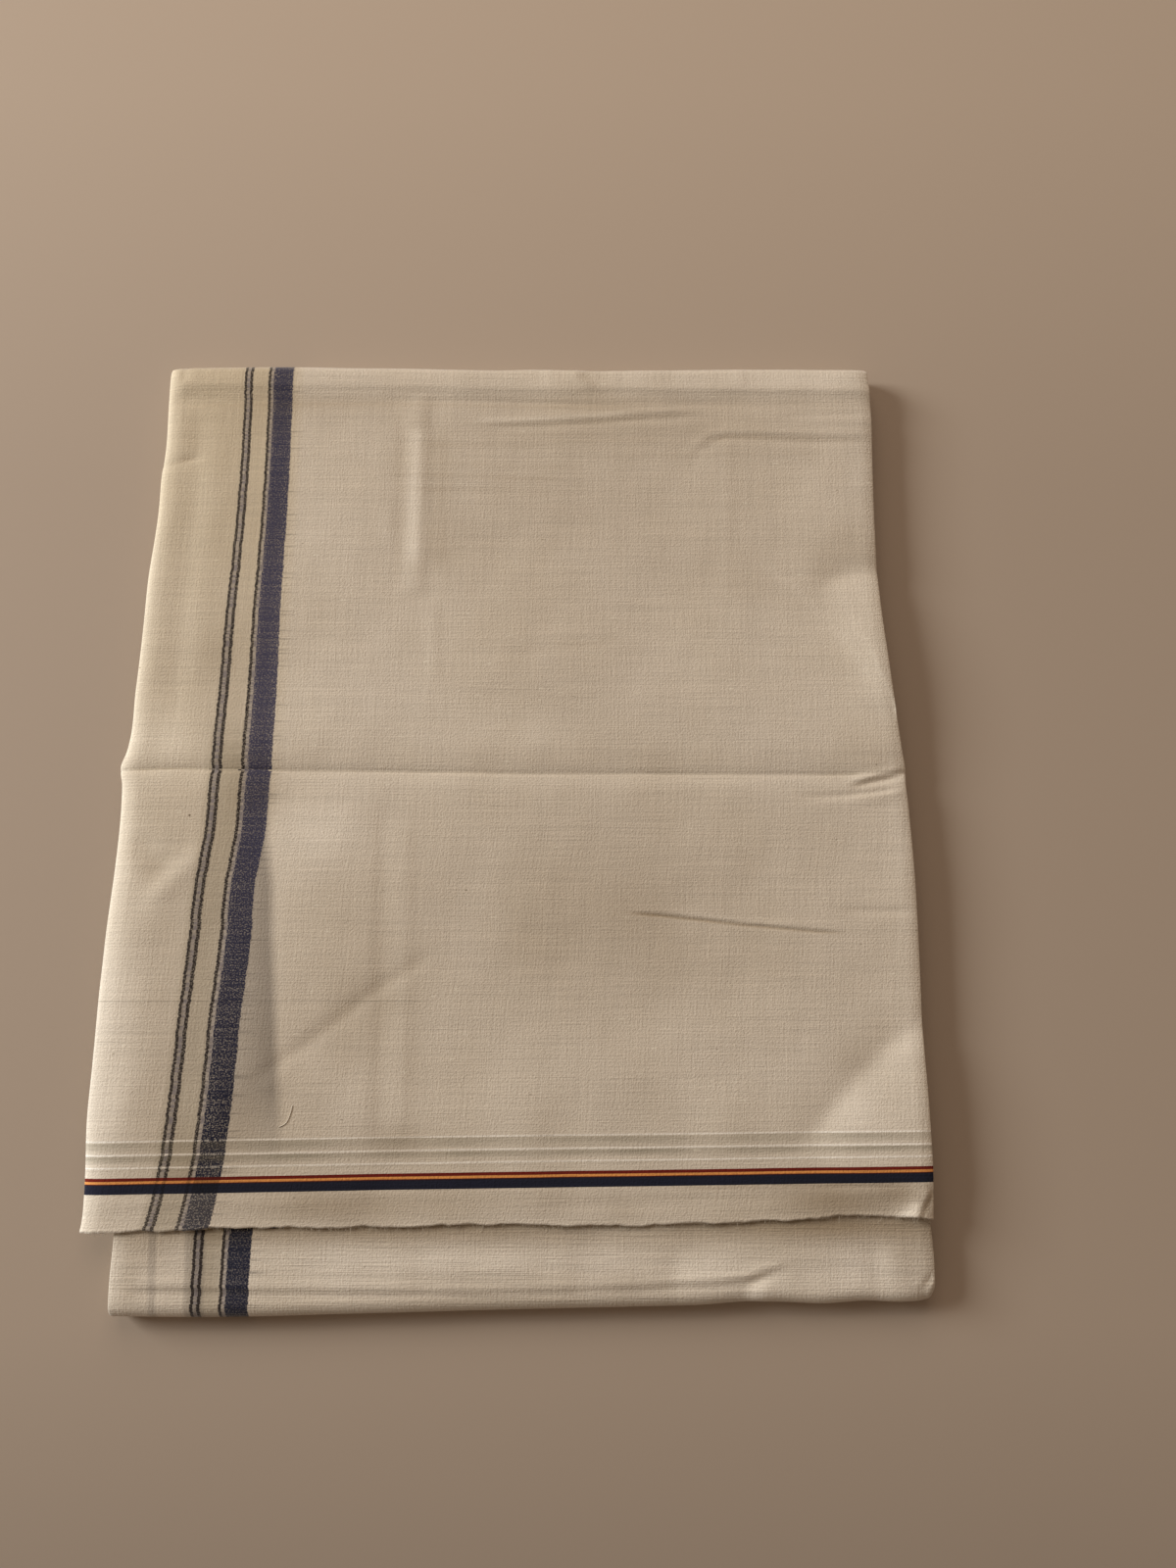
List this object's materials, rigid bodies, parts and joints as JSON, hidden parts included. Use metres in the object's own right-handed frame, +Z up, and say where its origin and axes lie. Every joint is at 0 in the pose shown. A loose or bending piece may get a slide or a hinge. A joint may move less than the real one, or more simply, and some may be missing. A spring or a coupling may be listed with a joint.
{
  "type": "folded dhoti cloth",
  "caption": "Unsewn cotton dhoti length with woven side stripes and a narrow end band, folded into a flat oblong pack with a cut end on top.",
  "frame": {"origin": "centre of the bounding box of the folded cloth, on the surface it lies on", "axes": "+Y along the warp, from the near edge with the cut end to the far rolled edge; +X across the strip, away from the striped side; +Z up"},
  "size_m": [0.336, 0.4067, 0.0131],
  "materials": {
    "top_cloth": "unbleached plain-weave cotton with slate-blue warp stripes and a navy, orange and dark red end band",
    "under_cloth": "the same cotton, with the same warp stripes",
    "fold_edges": "folded and selvedge edges of the same cotton"
  },
  "bodies": {
    "root": {"top_leaf": "top_cloth", "under_leaf": "under_cloth", "hidden_folds": "fold_edges"}
  },
  "joints": []
}
